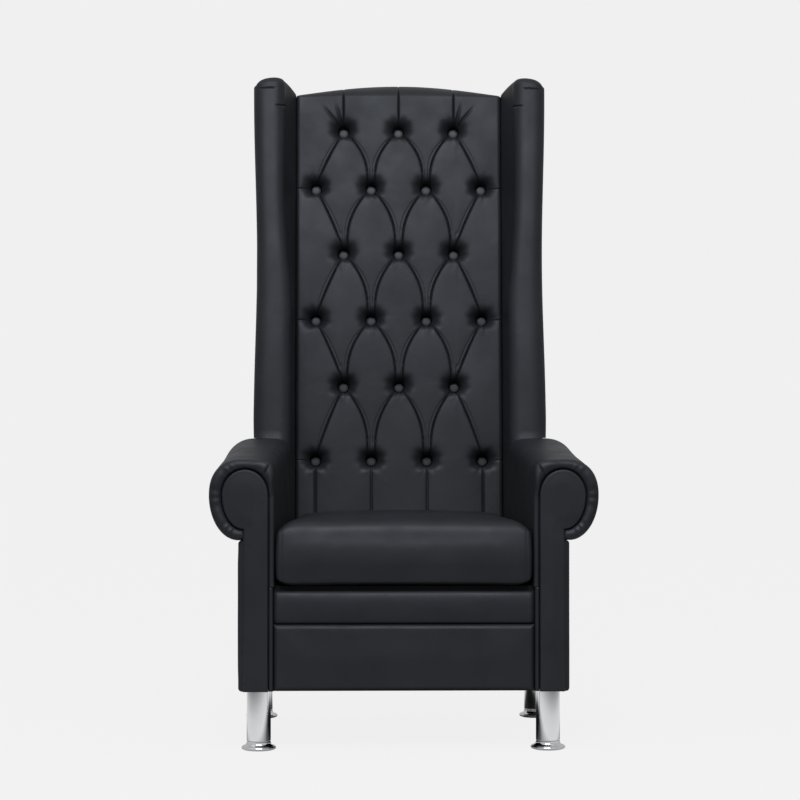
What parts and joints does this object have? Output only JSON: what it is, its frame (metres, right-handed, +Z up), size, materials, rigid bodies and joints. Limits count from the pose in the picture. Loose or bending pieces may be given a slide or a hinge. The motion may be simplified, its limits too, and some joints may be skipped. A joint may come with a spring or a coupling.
{
  "type": "pedicure chair",
  "caption": "Tall wing-back pedicure chair in black leather with a diamond-tufted back, scroll arms, loose box seat cushion and flared chrome legs.",
  "frame": {"origin": "on the floor, under the middle of the chair's outline", "axes": "+Z up; the sitter faces -Y; +X is the sitter's left"},
  "size_m": [0.8056, 0.755, 1.4767],
  "materials": {
    "black_leather": "smooth black leather, satin, fine grain",
    "button_leather": "black leather stretched over a button",
    "frame_timber": "sawn softwood",
    "plywood": "sanded plywood",
    "chrome": "polished chrome",
    "dust_cloth": "black non-woven cloth"
  },
  "bodies": {
    "chair": {"back_cushion": "black_leather", "outside_back_panel": "black_leather", "seat_roll": "black_leather", "front_panel": "black_leather", "arm_pad_left": "black_leather", "arm_facing_left": "black_leather", "side_panel_left": "black_leather", "wing_pad_left": "black_leather", "wing_outer_panel_left": "black_leather", "arm_pad_right": "black_leather", "arm_facing_right": "black_leather", "side_panel_right": "black_leather", "wing_pad_right": "black_leather", "wing_outer_panel_right": "black_leather", "tuft_button_01": "button_leather", "tuft_button_02": "button_leather", "tuft_button_03": "button_leather", "tuft_button_04": "button_leather", "tuft_button_05": "button_leather", "tuft_button_06": "button_leather", "tuft_button_07": "button_leather", "tuft_button_08": "button_leather", "tuft_button_09": "button_leather", "tuft_button_10": "button_leather", "tuft_button_11": "button_leather", "tuft_button_12": "button_leather", "tuft_button_13": "button_leather", "tuft_button_14": "button_leather", "tuft_button_15": "button_leather", "tuft_button_16": "button_leather", "tuft_button_17": "button_leather", "tuft_button_18": "button_leather", "tuft_button_19": "button_leather", "tuft_button_20": "button_leather", "tuft_button_21": "button_leather", "base_front_rail": "frame_timber", "base_back_rail": "frame_timber", "back_top_rail": "frame_timber", "base_side_rail_left": "frame_timber", "corner_block_left": "frame_timber", "back_post_left": "frame_timber", "base_side_rail_right": "frame_timber", "corner_block_right": "frame_timber", "back_post_right": "frame_timber", "back_board": "plywood", "side_board_left": "plywood", "side_board_right": "plywood", "leg_front_left": "chrome", "leg_front_right": "chrome", "leg_rear_left": "chrome", "leg_rear_right": "chrome", "dust_cover": "dust_cloth", "seat_deck": "dust_cloth"},
    "seat_cushion": {"seat_cushion": "black_leather"},
    "foot_front_left": {"levelling_foot_front_left": "chrome"},
    "foot_front_right": {"levelling_foot_front_right": "chrome"},
    "foot_rear_left": {"levelling_foot_rear_left": "chrome"},
    "foot_rear_right": {"levelling_foot_rear_right": "chrome"}
  },
  "joints": [
    {"name": "seat_cushion_lift", "type": "slide", "parent": "chair", "child": "seat_cushion", "axis": [0, 0, 1], "range_m": [0, 0.25]},
    {"name": "foot_front_left_level", "type": "slide", "parent": "chair", "child": "foot_front_left", "axis": [0, 0, -1], "range_m": [0, 0.012]},
    {"name": "foot_front_right_level", "type": "slide", "parent": "chair", "child": "foot_front_right", "axis": [0, 0, -1], "range_m": [0, 0.012]},
    {"name": "foot_rear_left_level", "type": "slide", "parent": "chair", "child": "foot_rear_left", "axis": [0, 0, -1], "range_m": [0, 0.012]},
    {"name": "foot_rear_right_level", "type": "slide", "parent": "chair", "child": "foot_rear_right", "axis": [0, 0, -1], "range_m": [0, 0.012]}
  ]
}
